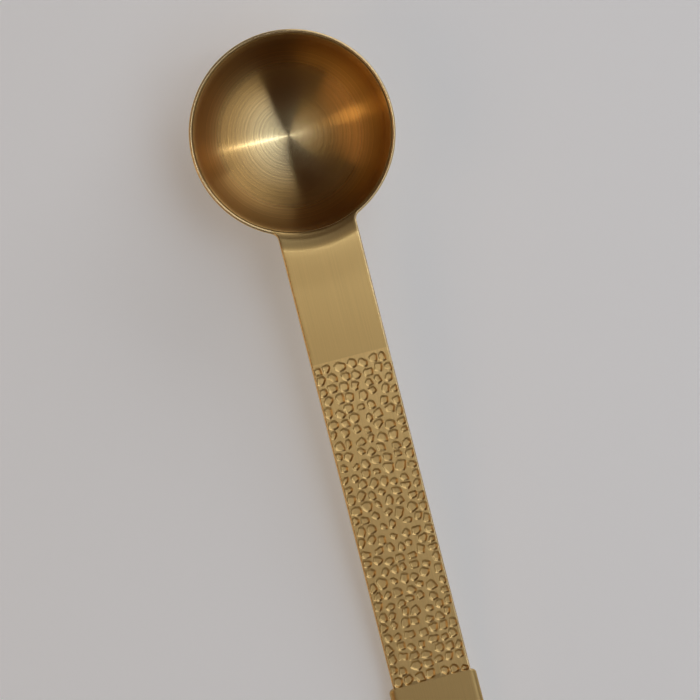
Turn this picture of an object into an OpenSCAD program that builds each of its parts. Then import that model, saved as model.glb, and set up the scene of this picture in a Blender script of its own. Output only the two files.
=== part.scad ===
// Coffee measuring spoon: a round cup drawn out of one strip, with a flat handle that
// carries a field of sunken pebble cells and ends in a plain, slightly wider tail.
// One solid. It lies as it comes to rest: on the dished bottom of the cup and on the
// far end of the handle. Millimetres, Z up, the table at Z = 0, the cup's middle over
// the origin before the lean, and the handle running along -Y.

/* [Cup] */
// Outer diameter of the rim
cup_d = 45; // [40:0.5:56]
// Depth inside, from the ledge inside the lip to the bottom
cup_depth = 20; // [17:0.5:24]
// Thickness of the drawn wall
wall_t = 1.1; // [0.9:0.05:1.4]
// Radius of the dished bottom, inside
dish_r = 38; // [32:1:60]
// Where the dished bottom turns up into the wall, as a share of the inner radius
dish_part = 0.68; // [0.55:0.01:0.74]
// Draft of the wall above the turn, in degrees
wall_draft = 3; // [1:0.5:5]
// Radius of the half-round bead along the lip
bead_r = 0.38; // [0.3:0.01:0.42]
// Rounding of the mouth's inner edge, below the ledge beside the bead
mouth_round = 0.2; // [0.1:0.05:0.3]

/* [Shoulder] */
// Radius of the roll that carries the strip from the cup's mouth up to the handle
roll_r = 8; // [7:0.25:12]
// Distance from the rim out to the crest of the roll
crest_out = 3.5; // [3:0.1:4.6]
// Height of the crest over the flat of the handle
crest_rise = 0.06; // [0.02:0.02:0.3]
// Fillet where the rim runs into the side of the handle
root_r = 1.9; // [1:0.1:4]
// Fillet under the shoulder, between the cup's wall and the strip
under_r = 3; // [1.5:0.25:4]

/* [Handle] */
// Width of the strip
handle_w = 17.5; // [14:0.25:22]
// Thickness of the strip
handle_t = 1.6; // [1.4:0.1:2.4]
// Plain length from the rim to the first pebbles
plain_len = 28; // [16:0.1:44]
// Length of the pebbled field
field_len = 72.4; // [40:0.1:90]
// Length of the plain tail past the pebbles
tail_len = 24.9; // [16:0.1:40]
// Rounding of the strip's long edges
edge_r = 0.35; // [0.2:0.05:0.5]

/* [Tail] */
// How far the tail stands out past each side of the strip
tail_side = 1.05; // [0.4:0.05:2]
// How far the tail stands over each face of the strip
tail_over = 0.35; // [0.2:0.05:0.6]
// Length of the ramp up from the strip to the tail's face
ramp_len = 0.8; // [0.5:0.1:1.2]
// Rounding of the tail's shoulders, seen from above
tail_shoulder_r = 0.9; // [0.6:0.1:3]
// Rounding of the tail's two far corners, seen from above
tail_corner_r = 5; // [2:0.25:7.5]

/* [Pebbles] */
// Size of one cell with its share of the web, across the handle
cell_pitch = 2.5; // [1.9:0.05:3.2]
// Least width of the web between two cells
web_w = 0.3; // [0.2:0.02:0.6]
// Depth of the cells
cell_depth = 0.3; // [0.15:0.05:0.5]
// Number of the random layout
layout_no = 11; // [1:1:40]

/* [Hidden] */
// Segments of a full turn on the round surfaces
$fn = 72;

// Cup, measured from the flat of the handle at height 0 downwards
rim_r = cup_d / 2;
in_r = rim_r - wall_t / cos(wall_draft);
crest_r = rim_r + crest_out;
flat_r = crest_r + 2.2;
// Height of the roll's surface at the distance r from the cup's axis
function roll_z(r) = crest_rise - roll_r + sqrt(roll_r * roll_r - (crest_r - r) * (crest_r - r));
// Bead: it lies inside the roll's circle and touches it at the angle bead_a
bead_cr = rim_r - bead_r;
bead_run = crest_out + bead_r;
bead_cz = crest_rise - roll_r + sqrt(pow(roll_r - bead_r, 2) - bead_run * bead_run);
bead_a = 90 + asin(bead_run / (roll_r - bead_r));
touch_r = bead_cr + bead_r * cos(bead_a);
mouth_z = bead_cz;
bottom_z = mouth_z - cup_depth;

// Dished bottom and knuckle, both round about fixed centres, so that the outer face
// is the inner one moved out by the wall's thickness
turn_r = in_r * dish_part;
turn_a = asin(turn_r / dish_r);
turn_z = bottom_z + dish_r * (1 - cos(turn_a));
up_a = 90 - wall_draft;
knuckle_r = (in_r - turn_r - (mouth_z - turn_z) * tan(wall_draft))
    / (sin(up_a) - sin(turn_a) - (cos(turn_a) - cos(up_a)) * tan(wall_draft));
dish_cz = bottom_z + dish_r;
knuckle_cr = turn_r - knuckle_r * sin(turn_a);
knuckle_cz = turn_z + knuckle_r * cos(turn_a);

// Tail
strip_end = rim_r + plain_len + field_len;
handle_end = strip_end + tail_len;
tail_w = handle_w + 2 * tail_side;
tail_t = handle_t + 2 * tail_over;
nose_r = tail_t / 2;
mid_z = -handle_t / 2;

// The lean at rest: the outer dish and the tail's rounded end both touch the table
bowl_r = dish_r + wall_t;
low_z = bottom_z - wall_t;
nose_h = mid_z - low_z - bowl_r;
nose_y = handle_end - nose_r;
lean = acos((nose_r - bowl_r) / sqrt(nose_h * nose_h + nose_y * nose_y))
    - atan2(nose_y, nose_h);

// Points of an arc about c with radius r, from angle a to angle b in n steps
function arc(c, r, a, b, n) = [
    for (k = [0:n])
        let(w = a + (b - a) * k / n)
        [c[0] + r * cos(w), c[1] + r * sin(w)]
];

// One face of the cup from the axis up to the end of the knuckle; off = 0 inside
function cup_face(off) = concat(
    [for (k = [0:8])
        let(w = turn_a * k / 8)
        [(dish_r + off) * sin(w), dish_cz - (dish_r + off) * cos(w)]],
    [for (k = [1:10])
        let(w = turn_a + (up_a - turn_a) * k / 10)
        [knuckle_cr + (knuckle_r + off) * sin(w), knuckle_cz - (knuckle_r + off) * cos(w)]]
);
function reversed(v) = [for (k = [len(v) - 1:-1:0]) v[k]];

function rest(v) = [for (k = [1:len(v) - 1]) v[k]];

// Inner flank of the bead, up to where the roll touches it
flank = arc([bead_cr, bead_cz], bead_r, 180, bead_a, 4);

// Cup with its lip, turned about its axis
module cup() {
    edge = min(mouth_round, bead_cr - bead_r - in_r - 0.05);
    rotate_extrude()
        polygon(concat(
            cup_face(0),
            arc([in_r + edge, mouth_z - edge], edge, 180, 90, 3),
            flank,
            rest(arc([bead_cr, bead_cz], bead_r, bead_a, 0, 7)),
            reversed(cup_face(wall_t))
        ));
}

// Outline of the shoulder's sector: the strip and the two root fillets
function root_c() = [handle_w / 2 + root_r,
    -sqrt((rim_r + root_r) * (rim_r + root_r) - (handle_w / 2 + root_r) * (handle_w / 2 + root_r))];
function root_points() =
    let(c = root_c(), a = atan2(-c[1], -c[0]))
    arc(c, root_r, a, 180, 6);
module shoulder_outline(far) {
    right = root_points();
    left = reversed([for (p = right) [-p[0], p[1]]]);
    polygon(concat(
        [[0, 0]],
        right,
        [[handle_w / 2, -far], [-handle_w / 2, -far]],
        left
    ));
}

// Shoulder: the roll from the bead to its crest and the fall to the flat handle, round
// about the cup's axis, cut to the strip's outline
module shoulder() {
    foot_z = -handle_t - under_r;
    foot_r = rim_r + (foot_z - mouth_z) * tan(wall_draft);
    intersection() {
        rotate_extrude()
            polygon(concat(
                [flank[3], flank[4]],
                [for (k = [1:8])
                    let(r = touch_r + (crest_r - touch_r) * k / 8)
                    [r, roll_z(r)]],
                [for (k = [1:6])
                    let(w = k / 6)
                    [crest_r + (flat_r - crest_r) * w,
                        crest_rise * (1 + cos(180 * w)) / 2]],
                [[flat_r + 1, 0], [flat_r + 1, -handle_t]],
                arc([foot_r + under_r, foot_z], under_r, 90, 180, 6),
                [[foot_r - wall_t / 2, foot_z]]
            ));
        translate([0, 0, foot_z - 1])
            linear_extrude(height = handle_t + under_r + 2)
                shoulder_outline(flat_r + 2);
    }
}

// Flat strip from the shoulder to the tail
module strip() {
    difference() {
        translate([-handle_w / 2, -strip_end - 2, -handle_t])
            cube([handle_w, strip_end + 2 - flat_r * 0.8, handle_t]);
        translate([0, 0, -handle_t - 1])
            cylinder(r = flat_r + 0.5, h = handle_t + 2);
    }
}

// Ramp across the strip's end, up to the face of the tail
module ramp() {
    translate([-handle_w / 2, 0, 0])
        rotate([90, 0, 90])
            linear_extrude(height = handle_w)
                polygon([
                    [-strip_end + ramp_len, -handle_t / 2],
                    [-strip_end + ramp_len, 0],
                    [-strip_end, tail_over],
                    [-strip_end - 0.5, tail_over],
                    [-strip_end - 0.5, -handle_t / 2]
                ]);
}

// Waste outside a rounded edge, as a bar along the handle; turned for each edge
module edge_waste() {
    rotate([90, 0, 0])
        linear_extrude(height = strip_end + 1 - rim_r * 0.9)
            polygon(concat(
                [[1, 1], [-edge_r, 1]],
                arc([-edge_r, -edge_r], edge_r, 90, 0, 4),
                [[1, -edge_r]]
            ));
}
module edges() {
    for (side = [0, 1])
        mirror([side, 0, 0])
            translate([handle_w / 2, -rim_r * 0.9, 0]) {
                edge_waste();
                translate([0, 0, -handle_t])
                    mirror([0, 0, 1])
                        edge_waste();
            }
}

// Tail: a plain pad with full round edges all along, rounded shoulders and corners
module tail() {
    half = tail_w / 2;
    intersection() {
        translate([0, 0, mid_z - tail_t])
            linear_extrude(height = tail_t * 2)
                polygon(concat(
                    arc([half - tail_shoulder_r, -strip_end - tail_shoulder_r],
                        tail_shoulder_r, 90, 0, 6),
                    arc([half - tail_corner_r, -handle_end + tail_corner_r],
                        tail_corner_r, 0, -90, 10),
                    arc([-half + tail_corner_r, -handle_end + tail_corner_r],
                        tail_corner_r, -90, -180, 10),
                    arc([-half + tail_shoulder_r, -strip_end - tail_shoulder_r],
                        tail_shoulder_r, 180, 90, 6)
                ));
        translate([0, -strip_end + 1, mid_z])
            rotate([90, 0, 0])
                linear_extrude(height = tail_len + 2)
                    polygon(concat(
                        arc([half - nose_r, 0], nose_r, -90, 90, 10),
                        arc([-half + nose_r, 0], nose_r, 90, 270, 10)
                    ));
        translate([-half - 1, 0, mid_z])
            rotate([90, 0, 90])
                linear_extrude(height = tail_w + 2)
                    polygon(concat(
                        [[-strip_end + 1, -nose_r], [-strip_end + 1, nose_r]],
                        arc([-handle_end + nose_r, 0], nose_r, 90, 270, 12)
                    ));
    }
}

// Pebble cells in shaken rows. Every cell is a turned, uneven shape between an oval and a
// brick that stops half a web short of the line midway to each neighbour and short of the
// strip's sides.
field_top = rim_r + plain_len;
cols = round(handle_w / cell_pitch);
rows = round(field_len / (cell_pitch * 0.965));
step_x = handle_w / cols;
step_y = field_len / rows;
// A fixed chance value from a to b for the cell n; each property has its own k
function chance(n, k, a, b) =
    let(v = sin(n * 127.1 + k * 311.7 + layout_no * 74.7) * 4375.8)
    a + (b - a) * (v - floor(v));
function cell_no(i, j) = i * cols + j + 1;
function spot(i, j) =
    let(n = cell_no(i, j))
    [-handle_w / 2 + step_x * min(cols - 0.42, max(0.42,
            j + 0.5 + (i % 2 == 0 ? -0.14 : 0.14) + chance(n, 1, -0.22, 0.22))),
        -field_top - step_y * (i + 0.5 + chance(n, 2, -0.24, 0.24))];
cell_sides = 8;
// Reach of a cell from its middle p in the direction d, kept clear of one neighbour q
function reach(p, d, q) =
    let(g = q - p, t = g * d)
    t > 0.05 ? (g * g / 2 - norm(g) * web_w / 2) / t : 99;
function side_reach(p, d) = abs(d[0]) < 0.05
    ? 99
    : (handle_w / 2 - edge_r - 0.06 - p[0] * sign(d[0])) / abs(d[0]);
function end_reach(p, d) = abs(d[1]) < 0.05
    ? 99
    : ((d[1] > 0 ? -field_top - p[1] : p[1] + field_top + field_len) - web_w / 2)
        / abs(d[1]);
function cell_turn(n) = chance(n, 3, 0, 180);
// Direction of a cell's corner k
function corner_a(n, k) = cell_turn(n) + 360 * k / cell_sides + chance(n, 30 + k, -8, 8);
// Reach of the cell's own shape: an oval where square is 2, nearly a brick where it is 5
function own_reach(n, k) =
    let(a = step_x * chance(n, 4, 0.36, 0.58), b = a * chance(n, 5, 0.6, 1),
        v = corner_a(n, k) - cell_turn(n), square = chance(n, 15, 2.1, 5))
    pow(pow(abs(cos(v)) / a, square) + pow(abs(sin(v)) / b, square), -1 / square)
    * chance(n, 6 + k, 0.86, 1.1);
function cell(i, j) =
    let(p = spot(i, j), n = cell_no(i, j), around = [
        for (di = [-1:1], dj = [-2:2])
            if ((di != 0 || dj != 0) && j + dj >= 0 && j + dj < cols
                && i + di >= 0 && i + di < rows)
                spot(i + di, j + dj)
    ])
    [for (k = [0:cell_sides - 1])
        let(w = corner_a(n, k), d = [cos(w), sin(w)])
        p + d * min(concat(
            [own_reach(n, k), side_reach(p, d), end_reach(p, d)],
            [for (q = around) reach(p, d, q)]
        ))];

module pebbles() {
    translate([0, 0, -cell_depth])
        linear_extrude(height = cell_depth + 1)
            for (i = [0:rows - 1], j = [0:cols - 1])
                polygon(cell(i, j));
}

// The whole spoon, level, with the flat of the handle at height 0
module level_spoon() {
    difference() {
        union() {
            cup();
            shoulder();
            strip();
            ramp();
        }
        edges();
        pebbles();
    }
    tail();
}

// Leaned into its rest, with the lowest point of the dish at the table
module spoon() {
    color([0.69, 0.56, 0.36])
        translate([0, 0, bowl_r])
            rotate([lean, 0, 0])
                translate([0, 0, -low_z - bowl_r])
                    level_spoon();
}

spoon();
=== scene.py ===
"""A coffee measuring spoon, drawn and stamped out of one strip of gold-coloured metal.

The spoon is modelled level, in millimetres, with the cup's axis on Z and the flat of
the handle at height 0. It is then leaned into the pose in which it comes to rest and
turned into metres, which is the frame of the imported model.
"""
from __future__ import annotations

import logging
import math
from dataclasses import dataclass
from enum import Enum
from typing import Callable, Sequence

import bmesh
import bpy
from mathutils import Matrix, Vector

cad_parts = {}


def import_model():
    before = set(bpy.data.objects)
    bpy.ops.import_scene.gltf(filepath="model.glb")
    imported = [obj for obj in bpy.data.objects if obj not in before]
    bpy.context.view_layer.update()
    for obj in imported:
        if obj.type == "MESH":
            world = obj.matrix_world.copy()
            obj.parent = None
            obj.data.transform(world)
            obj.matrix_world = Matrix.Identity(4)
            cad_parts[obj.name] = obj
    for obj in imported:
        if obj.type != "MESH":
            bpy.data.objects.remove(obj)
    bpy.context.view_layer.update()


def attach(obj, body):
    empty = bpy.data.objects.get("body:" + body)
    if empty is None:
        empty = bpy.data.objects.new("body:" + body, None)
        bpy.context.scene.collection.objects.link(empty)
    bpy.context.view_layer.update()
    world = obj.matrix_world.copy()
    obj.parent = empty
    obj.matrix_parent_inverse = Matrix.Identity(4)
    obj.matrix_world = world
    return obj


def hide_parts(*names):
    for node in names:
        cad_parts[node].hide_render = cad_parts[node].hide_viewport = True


LOG = logging.getLogger("spoon")
MM = 0.001
# Points that fall in the same step of this grid, in steps to a millimetre, are one.
STEPS_PER_MM = 2e4
# Where the parts of the brushing map start, so that no two strips share their marks.
CROWN_V, RIM_V, BOWL_V, HANDLE_V, SIDE_V = 100.0, 120, 150, 200, 30
DAYLIGHT = "#E6F0FF"
SKYLIGHT = "#F4F6FF"
Point = tuple[float, float, float]
Flat = tuple[float, float]


# Sizes


@dataclass(frozen=True)
class Sizes:
    """The spoon's driving sizes in millimetres.

    They are those of the CAD part, except that the shoulder's run_out into the handle is
    longer, so that it shades softly.
    """

    cup_d: float = 45.0
    cup_depth: float = 20.0
    wall_t: float = 1.1
    dish_r: float = 38.0
    dish_part: float = 0.68
    draft: float = math.radians(3)
    bead_r: float = 0.38
    mouth_round: float = 0.2
    roll_r: float = 8.0
    crest_out: float = 3.5
    crest_rise: float = 0.06
    root_r: float = 1.9
    under_r: float = 3.0
    handle_w: float = 17.5
    handle_t: float = 1.6
    plain_len: float = 28.0
    field_len: float = 72.4
    tail_len: float = 24.9
    edge_r: float = 0.35
    tail_side: float = 1.05
    tail_over: float = 0.35
    ramp_len: float = 0.8
    tail_shoulder_r: float = 0.9
    tail_corner_r: float = 5.0
    cell_pitch: float = 2.5
    web_w: float = 0.3
    cell_depth: float = 0.3
    layout_no: int = 11
    run_out: float = 9.0

    @property
    def rim_r(self) -> float:
        """Outer radius of the rim."""
        return self.cup_d / 2

    @property
    def in_r(self) -> float:
        """Inner radius of the mouth."""
        return self.rim_r - self.wall_t / math.cos(self.draft)

    @property
    def bead_cr(self) -> float:
        """Distance of the bead's middle from the cup's axis."""
        return self.rim_r - self.bead_r

    @property
    def mouth_z(self) -> float:
        """Height of the ledge inside the lip, which is that of the bead's middle."""
        run = self.crest_out + self.bead_r
        return self.crest_rise - self.roll_r + math.sqrt((self.roll_r - self.bead_r) ** 2 - run**2)

    @property
    def touch_a(self) -> float:
        """Angle on the bead at which the roll touches it, from the outward side."""
        return math.pi / 2 + math.asin((self.crest_out + self.bead_r) / (self.roll_r - self.bead_r))

    @property
    def crest_r(self) -> float:
        """Distance of the shoulder's crest from the cup's axis."""
        return self.rim_r + self.crest_out

    @property
    def flat_r(self) -> float:
        """Distance at which the shoulder has run out into the flat handle."""
        return self.crest_r + self.run_out

    @property
    def field_top(self) -> float:
        """Distance of the first pebbles from the cup's axis."""
        return self.rim_r + self.plain_len

    @property
    def strip_end(self) -> float:
        """Distance of the last pebbles from the cup's axis."""
        return self.field_top + self.field_len

    @property
    def handle_end(self) -> float:
        """Distance of the far end of the handle from the cup's axis."""
        return self.strip_end + self.tail_len

    @property
    def bottom_z(self) -> float:
        """Height of the lowest point inside the cup."""
        return self.mouth_z - self.cup_depth

    @property
    def nose_r(self) -> float:
        """Half the thickness of the tail."""
        return self.handle_t / 2 + self.tail_over

    @property
    def foot_z(self) -> float:
        """Height at which the fillet under the shoulder leaves the cup's wall."""
        return -self.handle_t - self.under_r

    def bead_z(self, r: float) -> float:
        """Height of the bead's upper half at the distance r from the cup's axis."""
        return self.mouth_z + math.sqrt(max(0.0, self.bead_r**2 - (r - self.bead_cr) ** 2))

    def top_z(self, r: float) -> float:
        """Height of the upper face from the bead over the roll out to the handle."""
        if r <= self.crest_r:
            return self.crest_rise - self.roll_r + math.sqrt(self.roll_r**2 - (self.crest_r - r) ** 2)
        w = min(1.0, (r - self.crest_r) / (self.flat_r - self.crest_r))
        return self.crest_rise * (1 + math.cos(math.pi * w)) / 2

    def wall_r(self, z: float) -> float:
        """Outer radius of the drafted wall at the height z."""
        return self.rim_r + min(0.0, z - self.mouth_z) * math.tan(self.draft)

    def under_z(self, r: float) -> float:
        """Height of the lower face from the cup's wall out to the handle."""
        centre = self.wall_r(self.foot_z) + self.under_r
        if r >= centre:
            return -self.handle_t
        return self.foot_z + math.sqrt(max(0.0, self.under_r**2 - (centre - r) ** 2))

    def lift(self, far: float) -> float:
        """Rise of the ramp to the tail at the distance far from the cup's axis."""
        share = (far - self.strip_end + self.ramp_len) / self.ramp_len
        return self.tail_over * min(1.0, max(0.0, share))

    def lean_matrix(self) -> Matrix:
        """Takes the level spoon to its rest on the cup's bottom and the tail's end.

        Returns:
            The move from level millimetres to the row frame's metres.
        """
        bowl_r = self.dish_r + self.wall_t
        low_z = self.bottom_z - self.wall_t
        nose_h = -self.handle_t / 2 - low_z - bowl_r
        nose_y = self.handle_end - self.nose_r
        lean = math.acos((self.nose_r - bowl_r) / math.hypot(nose_h, nose_y)) - math.atan2(
            nose_y, nose_h
        )
        return (
            Matrix.Scale(MM, 4)
            @ Matrix.Translation((0, 0, bowl_r))
            @ Matrix.Rotation(lean, 4, "X")
            @ Matrix.Translation((0, 0, -low_z - bowl_r))
        )


# Finishes


class Look(Enum):
    """The finishes of the spoon, in the order of its material slots."""

    SPUN = 0
    SATIN = 1
    STAMPED = 2
    EDGE = 3
    PAINTED_SHADE_GROOVE = 4
    # Painted shade in the groove inside the lip.
    BOWL = 5


@dataclass(frozen=True)
class Finish:
    """One surface treatment of the gold-coloured coating; some finishes also hold painted shade or a
    painted highlight in their colour.

    Attributes:
        name: The material's name.
        colour: sRGB hex of the metal.
        roughness: Spread of the reflection.
        anisotropy: How far the brushing draws the highlight out across the scratches.
        tone: How much lighter and darker the coating gets from place to place, 0 to 1.
        tone_mm: Distance between a lighter and a darker place, across the scratches.
        pitch_mm: Distance between two scratches.
        scratch_mm: Depth of the scratches.
        round_cup: Whether the scratches are whole rings round the cup.
        middle: sRGB hex of a painted highlight at the dish's middle, paler than the metal, or "" where it
            is all alike.
        wall_roughness: Spread of the reflection at the cup's wall, where it has a middle.
    """

    name: str
    colour: str
    roughness: float
    anisotropy: float
    tone: float
    tone_mm: float
    pitch_mm: float
    scratch_mm: float
    round_cup: bool = False
    middle: str = ""
    wall_roughness: float = 0.0


# Circular spinning marks inside the cup: they draw every highlight out into a bright
# spoke through the middle, where a paler colour paints the highlight.
SPUN = Finish(
    "gold_steel_spun", "#CBA261", 0.2, 1.0, 0.24, 0.4, 0.34, 0.0016, True, "#CFB98A", 0.28
)
# Lengthwise satin brushing on the plain faces: a soft, even sheen across the handle.
SATIN = Finish("gold_steel_satin", "#CDAD70", 0.3, 0.9, 0.06, 0.3, 0.12, 0.001)
# Stamped cells and their web: satin brushing pressed flat, a little duller.
STAMPED = Finish("gold_steel_stamped", "#DCBA7A", 0.31, 0.8, 0.1, 0.6, 0.4, 0.002)
# Tumbled edges and lip: smoother than the faces, and a paler colour that paints part of the highlight, so
# that they draw a thin bright line.
EDGE = Finish("gold_steel_tumbled_edge_painted_highlight", "#E0C490", 0.26, 0.0, 0.05, 0.6, 0.6, 0.001)
# The groove inside the lip: a dark colour paints the shade that falls in it, and a rougher finish, so
# that it draws a thin dark line.
PAINTED_SHADE_GROOVE = Finish("gold_steel_groove_painted_shade", "#7D5F36", 0.42, 0.0, 0.1, 0.6, 0.6, 0.001)
# The outside of the bowl: circular marks as inside, more even in tone.
BOWL = Finish("gold_steel_spun_outside", "#CBA769", 0.26, 0.9, 0.12, 0.5, 0.4, 0.002, True)


def linear(hex_colour: str, factor: float = 1.0) -> tuple[float, float, float, float]:
    """Turns an sRGB hex colour into the linear values that a shader takes.

    Args:
        hex_colour: Such as "#CDAE78".
        factor: Brightness relative to that colour.

    Returns:
        Linear red, green and blue, and alpha 1.
    """
    parts = [int(hex_colour[i : i + 2], 16) / 255 for i in (1, 3, 5)]
    low = [p / 12.92 if p <= 0.04045 else ((p + 0.055) / 1.055) ** 2.4 for p in parts]
    return (low[0] * factor, low[1] * factor, low[2] * factor, 1.0)


def add_node(tree: bpy.types.NodeTree, kind: str, **values: object) -> bpy.types.Node:
    """Adds a node and sets its properties, or its inputs where the name is a socket's.

    Args:
        tree: The node tree.
        kind: The node's type name.
        **values: Property or input values; an input's name has _ for a space, or is _
            and its number. A NodeSocket as the value is linked.

    Returns:
        The new node.
    """
    node = tree.nodes.new(kind)
    for key, value in values.items():
        if hasattr(node, key):
            setattr(node, key, value)
            continue
        place = int(key[1:]) if key[1:].isdigit() else key.replace("_", " ")
        if isinstance(value, bpy.types.NodeSocket):
            tree.links.new(value, node.inputs[place])
        else:
            node.inputs[place].default_value = value
    return node


@dataclass
class Coating:
    """Makes the materials of the gold-coloured steel.

    Attributes:
        dish_bottom: Lowest point inside the cup in metres, from which the direction
            across the spinning marks is taken.
        pale_band: Distances from there, in metres, between which the painted pale highlight at the middle
            ends.
        rough_band: Distances between which the metal gets as rough as the wall.
        tone_band: Values of the noise that give the darkest and the lightest tone.
    """

    dish_bottom: Vector
    pale_band: Flat = (0.002, 0.015)
    rough_band: Flat = (0.009, 0.018)
    tone_band: Flat = (0.25, 0.75)

    def material(self, finish: Finish) -> bpy.types.Material:
        """Builds the material of one finish.

        Args:
            finish: The surface treatment.

        Returns:
            The material.
        """
        material = bpy.data.materials.new(finish.name)
        material.use_nodes = True
        tree = material.node_tree
        tree.nodes.clear()
        shader = add_node(
            tree,
            "ShaderNodeBsdfPrincipled",
            Metallic=1.0,
            Roughness=finish.roughness,
            Anisotropic=finish.anisotropy,
        )
        add_node(tree, "ShaderNodeOutputMaterial", Surface=shader.outputs[0])
        if finish.round_cup:
            self.brush_round(tree, shader)
        elif finish.anisotropy:
            tangent = add_node(
                tree, "ShaderNodeTangent", direction_type="UV_MAP", uv_map="brush"
            )
            tree.links.new(tangent.outputs[0], shader.inputs["Tangent"])
            shader.inputs["Anisotropic Rotation"].default_value = 0.25
        self.scratch(tree, shader, finish)
        return material

    def brush_round(self, tree: bpy.types.NodeTree, shader: bpy.types.Node) -> None:
        """Draws the highlight out away from the dish's bottom, across the rings."""
        place = add_node(tree, "ShaderNodeTexCoord")
        away = add_node(tree, "ShaderNodeVectorMath", operation="SUBTRACT", _0=place.outputs["Object"])
        away.inputs[1].default_value = self.dish_bottom
        tree.links.new(away.outputs[0], shader.inputs["Tangent"])

    def scratch(self, tree: bpy.types.NodeTree, shader: bpy.types.Node, finish: Finish) -> None:
        """Lays fine scratches and a drift of tone along the map's U direction."""
        place = add_node(tree, "ShaderNodeUVMap", uv_map="brush")
        fine = add_node(tree, "ShaderNodeMapping", Vector=place.outputs[0])
        along = 0.0 if finish.round_cup else 0.04
        fine.inputs["Scale"].default_value = (along, 1 / finish.pitch_mm, 1.0)
        marks = add_node(
            tree, "ShaderNodeTexNoise", Vector=fine.outputs[0], Scale=1.0, Detail=5.0, Roughness=0.65
        )
        bump = add_node(
            tree,
            "ShaderNodeBump",
            Strength=1.0,
            Distance=finish.scratch_mm * MM,
            Height=marks.outputs[0],
        )
        tree.links.new(bump.outputs[0], shader.inputs["Normal"])
        wide = add_node(tree, "ShaderNodeMapping", Vector=place.outputs[0])
        wide.inputs["Scale"].default_value = (along, 1 / finish.tone_mm, 1.0)
        drift = add_node(
            tree, "ShaderNodeTexNoise", Vector=wide.outputs[0], Scale=1.0, Detail=3.0, Roughness=0.6
        )
        colour = self.toned(tree, drift.outputs[0], finish.colour, finish.tone)
        # Where the finish has one, a paler colour paints the highlight at the dish's middle.
        if finish.middle:
            colour = self.from_middle(tree, shader, finish, drift.outputs[0], colour)
        tree.links.new(colour, shader.inputs["Base Color"])

    def toned(
        self, tree: bpy.types.NodeTree, drift: bpy.types.NodeSocket, colour: str, tone: float
    ) -> bpy.types.NodeSocket:
        """Spreads a colour into a darker and a lighter tone.

        Args:
            tree: The node tree.
            drift: The noise that picks the tone.
            colour: sRGB hex of the middle tone.
            tone: How far the tones lie from it, 0 to 1.

        Returns:
            The toned colour.
        """
        ramp = add_node(tree, "ShaderNodeValToRGB", Fac=drift)
        for stop, where, share in zip(ramp.color_ramp.elements, self.tone_band, (-1, 1), strict=True):
            stop.position = where
            stop.color = linear(colour, 1 + share * tone)
        return ramp.outputs[0]

    def from_middle(
        self,
        tree: bpy.types.NodeTree,
        shader: bpy.types.Node,
        finish: Finish,
        drift: bpy.types.NodeSocket,
        colour: bpy.types.NodeSocket,
    ) -> bpy.types.NodeSocket:
        """Paints a paler highlight at the dish's middle and makes the wall rougher.

        Args:
            tree: The node tree.
            shader: The metal.
            finish: The surface treatment.
            drift: The drift of tone.
            colour: The colour at the wall.

        Returns:
            The colour over the whole inside.
        """
        # The paler colour that paints the highlight at the middle.
        inner = self.toned(tree, drift, finish.middle, finish.tone)
        place = add_node(tree, "ShaderNodeTexCoord")
        far = add_node(tree, "ShaderNodeVectorMath", operation="DISTANCE", _0=place.outputs["Object"])
        far.inputs[1].default_value = self.dish_bottom

        def ramped(band: Flat, low: float, high: float) -> bpy.types.NodeSocket:
            """A value that goes from low to high over a band of distances from the middle."""
            return add_node(
                tree,
                "ShaderNodeMapRange",
                interpolation_type="SMOOTHSTEP",
                Value=far.outputs["Value"],
                From_Min=band[0],
                From_Max=band[1],
                To_Min=low,
                To_Max=high,
            ).outputs[0]

        rough = ramped(self.rough_band, finish.roughness, finish.wall_roughness)
        tree.links.new(rough, shader.inputs["Roughness"])
        mixed = add_node(tree, "ShaderNodeMixRGB", Fac=ramped(self.pale_band, 0.0, 1.0), Color1=inner)
        tree.links.new(colour, mixed.inputs["Color2"])
        return mixed.outputs[0]


# Mesh helpers


class Skin:
    """A mesh in the making: quads with a finish and a brushing map in millimetres."""

    def __init__(self) -> None:
        self.bm = bmesh.new()
        self.uv = self.bm.loops.layers.uv.new("brush")
        self.known: dict[tuple[int, int, int], bmesh.types.BMVert] = {}

    def vert(self, p: Sequence[float]) -> bmesh.types.BMVert:
        """Returns the vertex at p, made once and shared by all that meet there."""
        key = tuple(round(part * STEPS_PER_MM) for part in p)
        if key not in self.known:
            self.known[key] = self.bm.verts.new(p)
        return self.known[key]

    def face(
        self,
        corners: Sequence[Sequence[float]],
        look: Look,
        uvs: Sequence[Flat],
        smooth: bool = True,
    ) -> None:
        """Adds a face, leaving out corners that fall on one another.

        Args:
            corners: The corner points in order.
            look: The finish.
            uvs: The brushing map's value at each corner.
            smooth: Whether it is shaded smooth.
        """
        verts, maps = [], []
        for p, m in zip(corners, uvs, strict=True):
            v = self.vert(p)
            if v not in verts:
                verts.append(v)
                maps.append(m)
        if len(verts) < 3:
            return
        made = self.bm.faces.new(verts)
        made.smooth = smooth
        made.material_index = look.value
        for loop, m in zip(made.loops, maps, strict=True):
            loop[self.uv].uv = m

    def grid(
        self,
        rows: Sequence[Sequence[Point]],
        look: Look | Callable[[int, int], Look | None],
        mapping: Callable[[int, int], Flat],
        closed: bool = False,
    ) -> None:
        """Joins rows of points with quads.

        Args:
            rows: Rows of equal length.
            look: The finish, or a function of row and column that may give None.
            mapping: The brushing map at row and column.
            closed: Whether each row closes on itself.
        """
        wide = len(rows[0])
        for i in range(len(rows) - 1):
            for j in range(wide if closed else wide - 1):
                k = (j + 1) % wide
                at = look(i, j) if callable(look) else look
                if at is None:
                    continue
                self.face(
                    (rows[i][j], rows[i][k], rows[i + 1][k], rows[i + 1][j]),
                    at,
                    (mapping(i, j), mapping(i, j + 1), mapping(i + 1, j + 1), mapping(i + 1, j)),
                )


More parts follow.
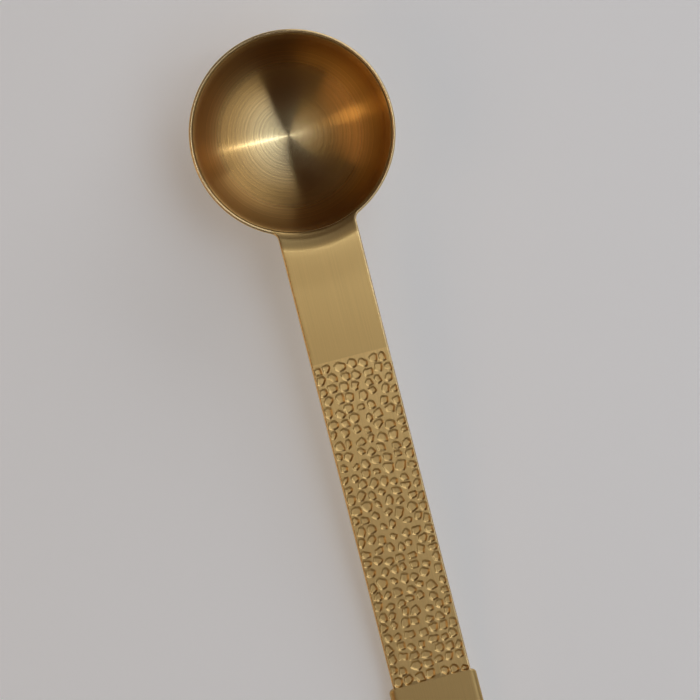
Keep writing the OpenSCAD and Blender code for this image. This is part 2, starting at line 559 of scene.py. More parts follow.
def polar(r: float, a: float, z: float) -> Point:
    """A point at the distance r from the cup's axis; a is 0 towards the handle."""
    return (r * math.sin(a), -r * math.cos(a), z)


def smooth_step(w: float) -> float:
    """Goes softly from 0 to 1 as w does, and stays there."""
    w = min(1.0, max(0.0, w))
    return w * w * (3 - 2 * w)


def run_lengths(points: Sequence[Flat]) -> list[float]:
    """Length along a profile from its start to each of its points."""
    run = [0.0]
    for a, b in zip(points, points[1:]):
        run.append(run[-1] + math.dist(a, b))
    return run


# The cup


@dataclass
class Cup:
    """The drawn cup: dished bottom, knuckle, drafted wall, ledge and beaded lip.

    Attributes:
        sizes: The spoon's sizes.
        across: Columns across the handle.
        around: Columns round the free rim.
        dish_steps: Rows of the dish.
        knuckle_steps: Rows of the turn from the dish into the wall.
        wall_steps: Rows of the wall.
        mouth_steps: Rows of the mouth's rounded edge.
        flank_steps: Rows from the ledge up the bead to where the roll touches it.
        crown_steps: Rows from there to the bead's top.
        merge: Share of the handle's width, at each side, over which the roll fades
            into the free bead.
    """

    sizes: Sizes
    across: int = 36
    around: int = 220
    dish_steps: int = 18
    knuckle_steps: int = 22
    wall_steps: int = 5
    mouth_steps: int = 4
    flank_steps: int = 5
    crown_steps: int = 3
    merge: float = 0.14

    @property
    def root_a(self) -> float:
        """Angle from the handle's line to where the root fillet leaves the rim."""
        x = self.sizes.handle_w / 2 + self.sizes.root_r
        return math.asin(x / (self.sizes.rim_r + self.sizes.root_r))

    def angles(self) -> list[float]:
        """Angles of the columns: first across the handle, then round the free rim."""
        a = self.root_a
        inner = [a * (2 * k / self.across - 1) for k in range(self.across)]
        free = 2 * math.pi - 2 * a
        return inner + [a + free * k / self.around for k in range(self.around)]

    def lip_z(self, r: float, a: float, past: float = 0.0) -> float:
        """Height of the upper face near the bead.

        Args:
            r: Distance from the cup's axis, past the point where the roll touches.
            a: Angle from the handle's line.
            past: How far the section has moved on from the bead, 0 to 1.
        """
        s = self.sizes
        inside = smooth_step((self.root_a - abs(a)) / self.root_a / self.merge)
        share = 1 - (1 - inside) * (1 - min(1.0, past))
        bead = s.bead_z(min(r, s.bead_cr))
        return bead + (s.top_z(r) - bead) * share

    def face_points(self, off: float) -> list[Flat]:
        """One face of the bottom and knuckle as radius and height, axis first.

        Args:
            off: 0 for the inner face, the wall's thickness for the outer one.
        """
        s = self.sizes
        turn_r = s.in_r * s.dish_part
        turn_a = math.asin(turn_r / s.dish_r)
        turn_z = s.bottom_z + s.dish_r * (1 - math.cos(turn_a))
        up = math.pi / 2 - s.draft
        knuckle = (s.in_r - turn_r - (s.mouth_z - turn_z) * math.tan(s.draft)) / (
            math.sin(up) - math.sin(turn_a) - (math.cos(turn_a) - math.cos(up)) * math.tan(s.draft)
        )
        centre = (turn_r - knuckle * math.sin(turn_a), turn_z + knuckle * math.cos(turn_a))
        points = []
        for k in range(self.dish_steps + 1):
            w = turn_a * k / self.dish_steps
            reach = s.dish_r + off
            points.append((reach * math.sin(w), s.bottom_z + s.dish_r - reach * math.cos(w)))
        for k in range(1, self.knuckle_steps + 1):
            w = turn_a + (up - turn_a) * k / self.knuckle_steps
            reach = knuckle + off
            points.append((centre[0] + reach * math.sin(w), centre[1] - reach * math.cos(w)))
        return points

    def mouth_points(self) -> list[Flat]:
        """The wall's top, the mouth's rounded edge, the ledge and the bead's flank."""
        s = self.sizes
        low = self.face_points(0)[-1]
        top = (s.in_r, s.mouth_z - s.mouth_round)
        n = self.wall_steps
        points = [
            (low[0] + (top[0] - low[0]) * k / n, low[1] + (top[1] - low[1]) * k / n)
            for k in range(1, n)
        ]
        for k in range(self.mouth_steps + 1):
            w = math.pi / 2 * k / self.mouth_steps
            points.append(
                (s.in_r + s.mouth_round * (1 - math.cos(w)),
                 s.mouth_z - s.mouth_round * (1 - math.sin(w)))
            )
        for k in range(self.flank_steps + 1):
            w = math.pi + (s.touch_a - math.pi) * k / self.flank_steps
            points.append((s.bead_cr + s.bead_r * math.cos(w), s.mouth_z + s.bead_r * math.sin(w)))
        return points

    def crown_radii(self) -> list[float]:
        """Distances of the rows from where the roll touches the bead to its top."""
        s = self.sizes
        steps = self.crown_steps
        turns = [s.touch_a + (math.pi / 2 - s.touch_a) * k / steps for k in range(1, steps + 1)]
        return [s.bead_cr + s.bead_r * math.cos(w) for w in turns]

    def lip_look(self, row: int, column: int, groove_from: int, groove_to: int) -> Look:
        """The finish of a quad on the way from the dish over the groove to the lip."""
        if row < groove_from:
            return Look.SPUN
        # The groove's rows take the dark colour that paints its shade.
        if row <= groove_to:
            return Look.PAINTED_SHADE_GROOVE
        # The bead on the free rim takes the paler edge colour, which paints part of its highlight.
        return Look.SATIN if column < self.across else Look.EDGE

    def build(self, skin: Skin, root_column: list[Point]) -> None:
        """Adds the cup to the skin.

        Args:
            skin: The mesh in the making.
            root_column: The handle's first side, from the lip down to the fillet's foot.
        """
        s = self.sizes
        angles = self.angles()
        turn = 2 * math.pi * s.in_r / len(angles)
        inside = self.face_points(0) + self.mouth_points()
        rows = [[polar(r, a, z) for a in angles] for r, z in inside]
        signed = [(a + math.pi) % (2 * math.pi) - math.pi for a in angles]
        for r in self.crown_radii():
            rows.append([polar(r, a, self.lip_z(r, b)) for a, b in zip(angles, signed)])
        run = run_lengths(inside) + [CROWN_V + k for k in range(self.crown_steps)]
        edge_from = len(inside) - self.flank_steps - 3
        groove_to = len(inside) - self.flank_steps + 1
        skin.grid(
            rows,
            lambda i, j: self.lip_look(i, j, edge_from, groove_to),
            lambda i, j: (turn * j, run[i]),
            closed=True,
        )
        # The free rim's bead and upper wall share their rows with the handle's first side.
        free = angles[self.across :] + [2 * math.pi - self.root_a]
        levels = [(s.bead_cr, s.bead_z(s.bead_cr))]
        levels += [(math.hypot(p[0], p[1]), p[2]) for p in root_column]
        levels += [(s.wall_r(s.foot_z), s.foot_z)]
        # The rows round the lip take the paler edge colour, which paints part of its highlight.
        lip_rows = Handle.round_rows
        skin.grid(
            [[polar(r, a, z) for a in free] for r, z in levels],
            lambda i, j: Look.EDGE if i < lip_rows else Look.BOWL,
            lambda i, j: (turn * j, RIM_V + i * 0.5),
        )
        # Outer bowl, from the fillet's foot down to the axis.
        outer = list(reversed(self.face_points(s.wall_t)))
        foot = (s.wall_r(s.foot_z), s.foot_z)
        wall = [
            (foot[0] + (outer[0][0] - foot[0]) * k / 4, foot[1] + (outer[0][1] - foot[1]) * k / 4)
            for k in range(4)
        ]
        outer = wall + outer
        run = run_lengths(outer)
        skin.grid(
            [[polar(r, a, z) for a in angles] for r, z in outer],
            Look.BOWL,
            lambda i, j: (turn * j, BOWL_V + run[i]),
            closed=True,
        )


# The handle


@dataclass
class Station:
    """One closed section of the handle, as four runs of points.

    Attributes:
        top: Upper face from left to right.
        right: Right side from the top down, without the faces' end points.
        under: Lower face from right to left.
        left: Left side from the bottom up, without the faces' end points.
    """

    top: list[Point]
    right: list[Point]
    under: list[Point]
    left: list[Point]

    def loop(self) -> list[Point]:
        """The section as one closed run."""
        return self.top + self.right + self.under + self.left


@dataclass
class HandleSeams:
    """Where the handle meets the other sub-assemblies.

    Attributes:
        first_side: Its first side, from the lip down, which the free rim shares.
        field_border: The edge of the open patch that the pebbled field fills.
    """

    first_side: list[Point]
    field_border: list[Point]


@dataclass
class Handle:
    """The strip: root fillets, rolled shoulder, plain face, ramp and plain tail.

    Attributes:
        sizes: The spoon's sizes.
        cup: The cup that the strip grows out of.
        round_rows: Points on a side's upper rounding.
        side_rows: Steps down its flat.
        under_rows: Points on its lower rounding.
        root_steps: Sections round the root fillets.
        ring_steps: Sections up to the crest, and as many down from it.
        field_beds: Sections along the pebbled field.
        end_steps: Sections round the tail's far corners.
        lip_fade: How fast the section moves on from the bead round the root fillets.
        field_lead: How far before the first pebbles the field's patch starts.
        tail_gap: How far past the ramp the tail's first section lies.
    """

    sizes: Sizes
    cup: Cup
    round_rows: int = 5
    side_rows: int = 4
    under_rows: int = 3
    root_steps: int = 12
    ring_steps: int = 9
    field_beds: int = 24
    end_steps: int = 22
    lip_fade: float = 2.5
    field_lead: float = 0.4
    tail_gap: float = 0.01

    @property
    def rows(self) -> int:
        """Number of points on a side, faces' end points left out."""
        return self.round_rows + self.side_rows + self.under_rows - 1

    def columns(self) -> list[float]:
        """Shares of the half width at which the faces have their points."""
        n = self.cup.across
        return [2 * k / n - 1 for k in range(n + 1)]

    def side(
        self, outline: Vector, out: Vector, top_z: float, under_z: float, top_r: float, low_r: float
    ) -> list[Point]:
        """Points down a side, from the rounded upper edge to the rounded lower one.

        Args:
            outline: The side's place seen from above.
            out: Direction out of the metal there.
            top_z: Height of the upper face.
            under_z: Height of the lower face.
            top_r: Rounding of the upper edge.
            low_r: Rounding of the lower edge.
        """
        points = []
        for k in range(1, self.round_rows + 1):
            w = math.pi / 2 * k / self.round_rows
            p = outline - out * top_r * (1 - math.sin(w))
            points.append((p.x, p.y, top_z - top_r * (1 - math.cos(w))))
        high, low = top_z - top_r, under_z + low_r
        for k in range(1, self.side_rows):
            points.append((outline.x, outline.y, high + (low - high) * k / self.side_rows))
        for k in range(self.under_rows):
            w = math.pi / 2 * k / self.under_rows
            p = outline - out * low_r * (1 - math.cos(w))
            points.append((p.x, p.y, under_z + low_r * (1 - math.sin(w))))
        return points

    def mirrored(self, points: list[Point]) -> list[Point]:
        """The same points on the left, from the bottom up."""
        return [(-x, y, z) for x, y, z in reversed(points)]

    def root_y(self) -> float:
        """Distance from the cup's axis at which the strip's sides start."""
        s = self.sizes
        return math.sqrt((s.rim_r + s.root_r) ** 2 - (s.handle_w / 2 + s.root_r) ** 2)

    def root_stations(self) -> list[Station]:
        """Sections round the root fillets, from the rim to the strip's straight side."""
        s = self.sizes
        centre = Vector((s.handle_w / 2 + s.root_r, -self.root_y()))
        first = math.atan2(-centre.y, -centre.x)
        stations = []
        for k in range(self.root_steps + 1):
            w = k / self.root_steps
            a = first + (math.pi - first) * w
            away = Vector((math.cos(a), math.sin(a)))
            outline = centre + away * s.root_r
            top_r = s.bead_r + (s.edge_r - s.bead_r) * w
            low_r = s.edge_r * w
            inset = outline + away * top_r
            top_ring, top_a = inset.length, math.atan2(inset.x, -inset.y)
            low = outline + away * low_r
            low_ring = low.length if k else s.wall_r(s.foot_z)
            low_a = math.atan2(low.x, -low.y)
            under_z = s.under_z(low_ring)
            past = self.lip_fade * w
            tops = [
                polar(top_ring, top_a * u, self.cup.lip_z(top_ring, self.cup.root_a * u, past))
                for u in self.columns()
            ]
            right = self.side(outline, -away, tops[-1][2], under_z, top_r, low_r)
            if k == 0:
                right = self.rim_side(outline, right, under_z)
            unders = [polar(low_ring, -low_a * u, under_z) for u in self.columns()]
            stations.append(Station(tops, right, unders, self.mirrored(right)))
        return stations

    def rim_side(self, outline: Vector, right: list[Point], foot_z: float) -> list[Point]:
        """The first side, laid on the cup's drafted wall under the lip."""
        s = self.sizes
        kept = right[: self.round_rows]
        high = kept[-1][2]
        along = outline.normalized()
        rest = self.rows - self.round_rows
        points = []
        for k in range(1, rest + 1):
            z = high + (foot_z - high) * k / (rest + 1)
            p = along * s.wall_r(z)
            points.append((p.x, p.y, z))
        return kept + points

    def shoulder_stations(self) -> list[Station]:
        """Sections over the crest and out to the straight rows of the plain face."""
        s = self.sizes
        inset = s.handle_w / 2 - s.edge_r
        start = math.hypot(inset, self.root_y())
        n = self.ring_steps
        rings = [start + (s.crest_r - start) * k / n for k in range(1, n + 1)]
        rings += [s.crest_r + (s.flat_r - s.crest_r) * k / n for k in range(1, n + 1)]
        stations = []
        for r in rings:
            y = math.sqrt(r * r - inset * inset)
            stations.append(self.straight(y, lambda x, r=r: math.sqrt(r * r - x * x)))
        for w in (0.3, 0.6, 1.0):

            def bowed(x: float, w: float = w) -> float:
                """Distance of the row at x, less bowed as w grows."""
                return (1 - w) * math.sqrt(s.flat_r**2 - x * x) + w * s.flat_r + 6 * w

            stations.append(self.straight(bowed(inset), bowed))
        return stations

    def straight(self, y: float, bow: Callable[[float], float] | None = None) -> Station:
        """A section of the strip with straight sides.

        Args:
            y: Distance of the sides from the cup's axis.
            bow: Distance of the faces' points from their x, or None for a straight row.
        """
        s = self.sizes
        half = s.handle_w / 2
        top, under = [], []
        for u in self.columns():
            x = (half - s.edge_r) * u
            far = bow(x) if bow else y
            top.append((x, -far, s.top_z(math.hypot(x, far)) + s.lift(far)))
            under.append((-x, -far, s.under_z(math.hypot(x, far))))
        right = self.side(
            Vector((half, -y)), Vector((1, 0)), top[-1][2], under[0][2], s.edge_r, s.edge_r
        )
        return Station(top, right, under, self.mirrored(right))

    def tail_section(self, y: float, half: float, thick: float, soft: float) -> Station:
        """A section of the tail with full round edges.

        Args:
            y: Distance from the cup's axis.
            half: Half the width.
            thick: Half the thickness.
            soft: How far in the edge's rounding reaches.
        """
        mid = -self.sizes.handle_t / 2
        top = [((half - soft) * u, -y, mid + thick) for u in self.columns()]
        under = [(-(half - soft) * u, -y, mid - thick) for u in self.columns()]
        right = []
        for k in range(1, self.rows + 1):
            w = math.pi / 2 - math.pi * k / (self.rows + 1)
            right.append((half - soft + soft * math.cos(w), -y, mid + thick * math.sin(w)))
        return Station(top, right, under, self.mirrored(right))

    def tail_stations(self) -> list[Station]:
        """Sections from the tail's shoulders to its rounded far end."""
        s = self.sizes
        half, full = s.handle_w / 2 + s.tail_side, s.nose_r
        stations = []
        steps = 8
        for k in range(steps + 1):
            w = math.pi / 2 * k / steps
            y = s.strip_end + self.tail_gap + s.tail_shoulder_r * (1 - math.cos(w))
            wide = half - s.tail_shoulder_r * (1 - math.sin(w))
            soft = s.edge_r + (full - s.edge_r) * smooth_step(k / steps)
            stations.append(self.tail_section(y, wide, full, soft))
        first = s.strip_end + self.tail_gap + s.tail_shoulder_r
        corner = s.handle_end - s.tail_corner_r
        for k in range(1, 6):
            stations.append(self.tail_section(first + (corner - first) * k / 6, half, full, full))
        # Rounded corners seen from above, and the rounded end seen from the side.
        for k in range(self.end_steps):
            w = math.pi / 2 * k / self.end_steps
            y = corner + s.tail_corner_r * math.sin(w)
            wide = half - s.tail_corner_r * (1 - math.cos(w))
            reach = max(0.0, y - (s.handle_end - full))
            thick = math.sqrt(max(0.0, full**2 - reach**2))
            stations.append(self.tail_section(y, wide, thick, full))
        return stations

    def build(self, skin: Skin) -> HandleSeams:
        """Adds the handle to the skin.

        Args:
            skin: The mesh in the making.

        Returns:
            The runs of points that the cup's rim and the pebbled field share.
        """
        s = self.sizes
        head = self.root_stations() + self.shoulder_stations()
        last = -head[-1].top[0][1]
        first = s.field_top - self.field_lead
        plain = [self.straight(last + (first - last) * k / 5) for k in range(1, 6)]
        foot = s.strip_end - s.ramp_len
        beds = [first + (foot - first) * k / self.field_beds for k in range(1, self.field_beds + 1)]
        beds += [foot + s.ramp_len * k / 3 for k in range(1, 4)]
        field = [self.straight(y) for y in beds]
        stations = head + plain + field + self.tail_stations()
        wide = len(self.columns())
        field_from = len(head) + len(plain) - 1
        field_to = field_from + len(beds)
        rows = [st.loop() for st in stations]
        around = len(rows[0])
        rounded = self.round_rows + 1

        def look(i: int, j: int) -> Look | None:
            """The finish of the quad at row i and column j; the field is filled later."""
            if j < wide - 1:
                return None if field_from <= i < field_to else Look.SATIN
            if i >= field_to:
                return Look.SATIN
            # The rounded edges take the paler edge colour, which paints part of their highlight.
            near_edge = j < wide - 1 + rounded or j >= around - rounded
            return Look.EDGE if near_edge else Look.SATIN

        def mapping(i: int, j: int) -> Flat:
            """Brushing runs along the handle; V counts across the section."""
            p = rows[i][j % around]
            return (-p[1], HANDLE_V + (p[0] if j < wide else SIDE_V + j * 0.4))

        skin.grid(rows, look, mapping, closed=True)
        self.close_end(skin, stations[-1])
        border = (
            stations[field_from].top
            + [stations[i].top[-1] for i in range(field_from + 1, field_to)]
            + list(reversed(stations[field_to].top))
            + [stations[i].top[0] for i in range(field_to - 1, field_from, -1)]
        )
        return HandleSeams(stations[0].right, border)

    def close_end(self, skin: Skin, end: Station) -> None:
        """Closes the far end on the line along the middle of its rounding."""
        s = self.sizes
        tip = s.handle_end
        line = [(p[0], -tip, -s.handle_t / 2) for p in end.top]
        under = list(reversed(end.under))
        for upper, lower in ((end.top, line), (line, under)):
            skin.grid([upper, lower], Look.SATIN, lambda i, j: (tip + i, HANDLE_V + j))
        for fan, at in (
            ([end.top[-1], *end.right, under[-1]], -1),
            ([under[0], *end.left, end.top[0]], 0),
        ):
            for a, b in zip(fan, fan[1:]):
                skin.face((line[at], a, b), Look.SATIN, ((tip, 0), (tip, 1), (tip, 2)))


# The pebbled field


@dataclass
class PebbleField:
    """Sunken cells in a web, laid out by the same chance values as the CAD part's.

    Attributes:
        sizes: The spoon's sizes.
        sides: Corners of a cell.
        finer: Points on the rounded outline for each corner.
        ease: Roundness of the outline at its corners, from 0 to 0.5.
        depth_share: Depth of the cells, as a share of the CAD part's.
        wall: Rings down a cell's wall, as distance inwards and share of the depth.
        floor_tilt: Steepest slope of a cell's floor.
    """

    sizes: Sizes
    sides: int = 8
    finer: int = 4
    ease: float = 0.36
    depth_share: float = 0.92
    wall: tuple[Flat, ...] = (
        (-0.1, 0.0),
        (-0.03, 0.05),
        (0.04, 0.18),
        (0.12, 0.46),
        (0.2, 0.74),
        (0.28, 0.9),
        (0.37, 0.97),
        (0.47, 1.0),
    )
    floor_tilt: float = 0.01

    def __post_init__(self) -> None:
        s = self.sizes
        self.cols = round(s.handle_w / s.cell_pitch)
        self.rows = round(s.field_len / (s.cell_pitch * 0.965))
        self.step_x = s.handle_w / self.cols
        self.step_y = s.field_len / self.rows

    def chance(self, n: int, k: int, a: float, b: float) -> float:
        """A fixed chance value from a to b for the property k of the cell n."""
        v = math.sin(math.radians(n * 127.1 + k * 311.7 + self.sizes.layout_no * 74.7)) * 4375.8
        return a + (b - a) * (v - math.floor(v))

    def spot(self, i: int, j: int) -> Vector:
        """Middle of the cell in row i and column j."""
        s, n = self.sizes, i * self.cols + j + 1
        shift = -0.14 if i % 2 == 0 else 0.14
        across = j + 0.5 + shift + self.chance(n, 1, -0.22, 0.22)
        across = min(self.cols - 0.42, max(0.42, across))
        down = i + 0.5 + self.chance(n, 2, -0.24, 0.24)
        return Vector((-s.handle_w / 2 + self.step_x * across, -s.field_top - self.step_y * down))

    def outline(self, i: int, j: int) -> list[Vector]:
        """Corners of a cell: between a turned oval and a brick, kept off its neighbours."""
        s, n, p = self.sizes, i * self.cols + j + 1, self.spot(i, j)
        turn = self.chance(n, 3, 0, 180)
        a = self.step_x * self.chance(n, 4, 0.36, 0.58)
        b = a * self.chance(n, 5, 0.6, 1)
        square = self.chance(n, 15, 2.1, 5)
        near = [
            self.spot(i + di, j + dj)
            for di in (-1, 0, 1)
            for dj in (-2, -1, 0, 1, 2)
            if (di or dj) and 0 <= j + dj < self.cols and 0 <= i + di < self.rows
        ]
        points = []
        for k in range(self.sides):
            v = math.radians(360 * k / self.sides + self.chance(n, 30 + k, -8, 8))
            w = math.radians(turn) + v
            d = Vector((math.cos(w), math.sin(w)))
            wide, high = abs(math.cos(v)) / a, abs(math.sin(v)) / b
            reach = (wide**square + high**square) ** (-1 / square)
            reach *= self.chance(n, 6 + k, 0.86, 1.1)
            if abs(d.x) >= 0.05:
                side = s.handle_w / 2 - s.edge_r - 0.06
                reach = min(reach, (side - p.x * math.copysign(1, d.x)) / abs(d.x))
            if abs(d.y) >= 0.05:
                room = -s.field_top - p.y if d.y > 0 else p.y + s.strip_end
                reach = min(reach, (room - s.web_w / 2) / abs(d.y))
            for q in near:
                g = q - p
                t = g.dot(d)
                if t > 0.05:
                    reach = min(reach, (g.length_squared / 2 - g.length * s.web_w / 2) / t)
            points.append(p + d * reach)
        return points

    def rounded(self, points: list[Vector]) -> list[Vector]:
        """A closed curve through a cell's corners, straighter between them than at them."""
        n, out = len(points), []
        for k in range(n):
            a, b, c, d = (points[(k + m) % n] for m in (-1, 0, 1, 2))
            start, end = (c - a) * self.ease, (d - b) * self.ease
            for m in range(self.finer):
                t = m / self.finer
                out.append(
                    b * (2 * t**3 - 3 * t**2 + 1)
                    + start * (t**3 - 2 * t**2 + t)
                    + c * (3 * t**2 - 2 * t**3)
                    + end * (t**3 - t**2)
                )
        return out

    def cell(self, skin: Skin, i: int, j: int) -> list[Point]:
        """Adds one cell.

        Args:
            skin: The mesh in the making.
            i: The cell's row.
            j: The cell's column.

        Returns:
            Its outline in the face of the web.
        """
        s, n = self.sizes, i * self.cols + j + 1
        rim = self.rounded(self.outline(i, j))
        mid = sum(rim, Vector((0, 0))) / len(rim)
        slope = Vector([self.chance(n, k, -self.floor_tilt, self.floor_tilt) for k in (21, 22)])
        deep = -s.cell_depth * self.depth_share
        rings = []
        for inset, share in self.wall:
            ring = []
            for p in rim:
                away = p - mid
                q = mid + away * max(0.3, 1 - inset / away.length)
                floor = deep + slope.dot(q - mid)
                ring.append((q.x, q.y, floor * share + s.lift(-q.y) * (1 - share)))
            rings.append(ring)
        skin.grid(
            rings,
            Look.STAMPED,
            lambda a, b: (-rings[a][b % len(rim)][1], HANDLE_V + rings[a][b % len(rim)][0]),
            closed=True,
        )
        low = rings[-1]
        for k in range(len(low)):
            tri = (low[k], low[(k + 1) % len(low)], (mid.x, mid.y, deep))
            skin.face(tri, Look.STAMPED, [(-p[1], HANDLE_V + p[0]) for p in tri], smooth=False)
        return rings[0]

    def build(self, skin: Skin, border: list[Point]) -> None:
        """Adds the cells and the web between them.

        Args:
            skin: The mesh in the making.
            border: The edge of the open patch in the handle's upper face.
        """
        loops = [border]
        loops += [self.cell(skin, i, j) for i in range(self.rows) for j in range(self.cols)]
        edges = []
        for loop in loops:
            verts = [skin.vert(p) for p in loop]
            for a, b in zip(verts, verts[1:] + verts[:1]):
                edges.append(skin.bm.edges.get((a, b)) or skin.bm.edges.new((a, b)))
        made = bmesh.ops.triangle_fill(
            skin.bm, use_beauty=True, use_dissolve=False, edges=edges, normal=(0, 0, 1)
        )
        for face in (g for g in made["geom"] if isinstance(g, bmesh.types.BMFace)):
            face.material_index = Look.STAMPED.value
            face.smooth = False
            for loop in face.loops:
                loop[skin.uv].uv = (-loop.vert.co.y, HANDLE_V + loop.vert.co.x)


# The spoon


@dataclass
class Spoon:
    """The whole spoon as one closed mesh.

    Attributes:
        sizes: The spoon's sizes.
        crease_a: Angle between two faces above which the edge shows sharp.
    """

    sizes: Sizes
    crease_a: float = math.radians(33)

    def build(self) -> bpy.types.Object:
        """Models the spoon and leans it into its rest.

        Returns:
            The finished piece.
        """
        skin = Skin()
        cup = Cup(self.sizes)
        seams = Handle(self.sizes, cup).build(skin)
        cup.build(skin, seams.first_side)
        PebbleField(self.sizes).build(skin, seams.field_border)
        bm = skin.bm
        bmesh.ops.remove_doubles(bm, verts=bm.verts, dist=1e-4)
        bmesh.ops.recalc_face_normals(bm, faces=bm.faces)
        for edge in bm.edges:
            if len(edge.link_faces) == 2 and edge.calc_face_angle(0.0) > self.crease_a:
                edge.smooth = False
        LOG.info("edges not in two faces: %d", sum(len(e.link_faces) != 2 for e in bm.edges))
        bmesh.ops.transform(bm, matrix=self.sizes.lean_matrix(), verts=bm.verts)
        mesh = bpy.data.meshes.new("measuring_spoon")
        bm.to_mesh(mesh)
        bm.free()
        piece = bpy.data.objects.new("measuring_spoon", mesh)
        bpy.context.scene.collection.objects.link(piece)
        return piece

    def dress(self, piece: bpy.types.Object) -> None:
        """Gives the piece its finishes, in the order of Look."""
        coating = Coating(self.sizes.lean_matrix() @ Vector((0, 0, self.sizes.bottom_z)))
        for finish in (SPUN, SATIN, STAMPED, EDGE, PAINTED_SHADE_GROOVE, BOWL):
            piece.data.materials.append(coating.material(finish))


# The studio


@dataclass(frozen=True)
class Lamp:
    """One soft panel of light.

    Attributes:
        name: The lamp's name.
        place: Where its middle hangs, in metres.
        size: Its width and length, in metres.
        glow: Its brightness, where 1 shows as white.
        colour: sRGB hex of its light.
        turn: Its turn about the upright axis, in degrees.
        lean: How far it leans up from level towards where it is turned, in degrees.
        shape: Blender's name for its outline.
    """

    name: str
    place: Point
    size: Flat
    glow: float
    colour: str
    turn: float = 0.0
    lean: float = 0.0
    shape: str = "RECTANGLE"

    @property
    def watts(self) -> float:
        """The power that gives the panel its brightness."""
        part = math.pi / 4 if self.shape == "ELLIPSE" else 1.0
        return self.glow * math.pi * self.size[0] * self.size[1] * part


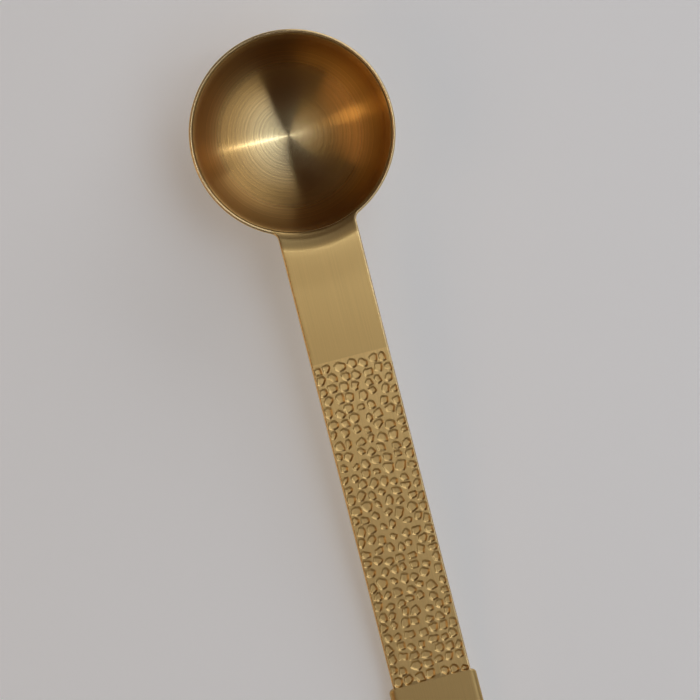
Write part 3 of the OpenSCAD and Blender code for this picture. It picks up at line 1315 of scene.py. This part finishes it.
@dataclass
class Studio:
    """A pale floor, soft lamps, a surround and the photograph's camera.

    Attributes:
        floor_colour: sRGB hex of the floor.
        floor_lift: Light that the floor gives where it is seen.
        floor_half: Half the floor's width in metres.
        horizon_colour: sRGB hex of the surround at the horizon.
        overhead_colour: sRGB hex of the surround overhead.
        horizon_band: Heights, as shares of the sky, between which one becomes the other.
        focal_px: The camera's focal length in the photograph's pixels.
        image_px: Width of the photograph in pixels.
        sensor_mm: Width of the camera's sensor.
        camera_place: Where the camera hangs, in metres.
        camera_turn: Its turn, as an axis whose length is the angle in radians.
        lamps: The lamps: the cool window at +X and the warm room at -X.
    """

    floor_colour: str = "#E7E8E7"
    floor_lift: float = 0.25
    horizon_colour: str = "#D8D6D2"
    overhead_colour: str = "#38281E"
    floor_half: float = 4.0
    horizon_band: Flat = (0.1, 0.22)
    focal_px: float = 3676.0
    image_px: float = 700.0
    sensor_mm: float = 36.0
    camera_place: Point = (-0.03806, -0.12807, 0.80925)
    camera_turn: Point = (0.1086, -0.0349, -0.254)
    lamps: tuple[Lamp, ...] = (
        Lamp("window_near", (0.41, -0.55, 1.2), (0.4, 1.1), 1.2, DAYLIGHT, 6.5),
        Lamp("window_near_middle", (0.365, 0.12, 1.2), (0.4, 0.24), 0.95, DAYLIGHT, 6.5),
        Lamp("window_near_end", (0.335, 0.47, 1.2), (0.4, 0.46), 0.7, DAYLIGHT, 6.5),
        Lamp("window_middle", (0.755, -0.2, 1.2), (0.35, 1.8), 0.8, DAYLIGHT, 6.5),
        Lamp("window_far", (1.33, -0.2, 1.2), (0.8, 1.8), 0.42, SKYLIGHT, 6.5),
        Lamp("pane", (0.4, -0.13, 1.195), (0.6, 0.12), 0.5, DAYLIGHT),
        Lamp("pane_edge", (0.4, -0.08, 1.194), (0.6, 0.3), 0.35, DAYLIGHT),
        Lamp("core", (0.9, -0.15, 1.19), (1.7, 0.028), 5.5, DAYLIGHT),
        Lamp("low_window", (0.9, 0.9, 0.52), (0.7, 1.4), 1.9, SKYLIGHT, 45.0, 68.0),
        Lamp("near_room", (-0.2, -0.17, 1.2), (0.34, 0.6), 0.34, "#FFE09A", shape="ELLIPSE"),
        Lamp("room", (-1.5, -0.25, 1.2), (1.5, 2.6), 0.48, "#FFC794", shape="ELLIPSE"),
        Lamp("room_core", (-1.9, -0.29, 1.19), (1.9, 0.3), 1.15, "#FFDCA8", 4.5),
    )

    def build(self) -> None:
        """Sets up the floor, the lamps, the world and the camera."""
        self.add_floor()
        for lamp in self.lamps:
            self.add_lamp(lamp)
        self.add_world()
        self.add_camera()
        bpy.context.scene.view_settings.view_transform = "Standard"

    def add_floor(self) -> None:
        """Lays the pale floor, which isn't part of the object."""
        bm = bmesh.new()
        bmesh.ops.create_grid(bm, x_segments=1, y_segments=1, size=self.floor_half)
        mesh = bpy.data.meshes.new("floor")
        bm.to_mesh(mesh)
        bm.free()
        floor = bpy.data.objects.new("floor", mesh)
        bpy.context.scene.collection.objects.link(floor)
        # Plain matt paper that keeps the spoon's soft shadow, lifted where it is seen.
        material = bpy.data.materials.new("floor_matt_paper")
        material.use_nodes = True
        tree = material.node_tree
        shader = tree.nodes["Principled BSDF"]
        shader.inputs["Base Color"].default_value = linear(self.floor_colour)
        shader.inputs["Roughness"].default_value = 0.9
        shader.inputs["Emission Color"].default_value = linear(self.floor_colour)
        lift = add_node(tree, "ShaderNodeMath", operation="MULTIPLY", _0=self.seen(tree))
        lift.inputs[1].default_value = self.floor_lift
        tree.links.new(lift.outputs[0], shader.inputs["Emission Strength"])
        mesh.materials.append(material)

    def seen(self, tree: bpy.types.NodeTree) -> bpy.types.NodeSocket:
        """A value that is 1 for what is seen, straight or in a reflection, and else 0."""
        path = add_node(tree, "ShaderNodeLightPath")
        either = path.outputs["Is Camera Ray"]
        for name in ("Is Glossy Ray", "Is Transmission Ray"):
            either = add_node(
                tree, "ShaderNodeMath", operation="MAXIMUM", _0=either, _1=path.outputs[name]
            ).outputs[0]
        return either

    def add_lamp(self, lamp: Lamp) -> None:
        """Hangs one lamp."""
        data = bpy.data.lights.new(lamp.name, "AREA")
        data.shape = lamp.shape
        data.size, data.size_y = lamp.size
        data.energy = lamp.watts
        data.color = linear(lamp.colour)[:3]
        thing = bpy.data.objects.new(lamp.name, data)
        thing.location = lamp.place
        turn = Matrix.Rotation(math.radians(lamp.turn), 4, "Z")
        lean = Matrix.Rotation(math.radians(lamp.lean), 4, "Y")
        thing.matrix_world = Matrix.Translation(lamp.place) @ turn @ lean
        bpy.context.scene.collection.objects.link(thing)

    def add_world(self) -> None:
        """Sets a surround that is pale at the horizon and dim overhead."""
        world = bpy.data.worlds.new("surround")
        bpy.context.scene.world = world
        world.use_nodes = True
        tree = world.node_tree
        tree.nodes.clear()
        place = add_node(tree, "ShaderNodeTexCoord")
        parts = add_node(tree, "ShaderNodeSeparateXYZ", Vector=place.outputs["Generated"])
        ramp = add_node(tree, "ShaderNodeValToRGB", Fac=parts.outputs["Z"])
        colours = (self.horizon_colour, self.overhead_colour)
        for stop, where, colour in zip(ramp.color_ramp.elements, self.horizon_band, colours, strict=True):
            stop.position = where
            stop.color = linear(colour)
        light = add_node(tree, "ShaderNodeBackground", Color=ramp.outputs[0], Strength=1.0)
        add_node(tree, "ShaderNodeOutputWorld", Surface=light.outputs[0])

    def add_camera(self) -> None:
        """Hangs the camera where the photograph's outline puts it, nearly overhead."""
        data = bpy.data.cameras.new("camera")
        data.sensor_width = self.sensor_mm
        data.lens = self.focal_px * self.sensor_mm / self.image_px
        data.clip_end = 20.0
        camera = bpy.data.objects.new("camera", data)
        turn = Vector(self.camera_turn)
        camera.matrix_world = Matrix.Translation(self.camera_place) @ Matrix.Rotation(
            turn.length, 4, turn.normalized()
        )
        bpy.context.scene.collection.objects.link(camera)
        bpy.context.scene.camera = camera


def main() -> None:
    """Builds the spoon and the studio and logs the number of triangles."""
    logging.basicConfig(level=logging.INFO, format="%(name)s: %(message)s")
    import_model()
    spoon = Spoon(Sizes())
    piece = spoon.build()
    spoon.dress(piece)
    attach(piece, "root")
    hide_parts("spoon")
    LOG.info("triangles: %d", sum(len(p.vertices) - 2 for p in piece.data.polygons))
    Studio().build()


if __name__ == "__main__":
    main()
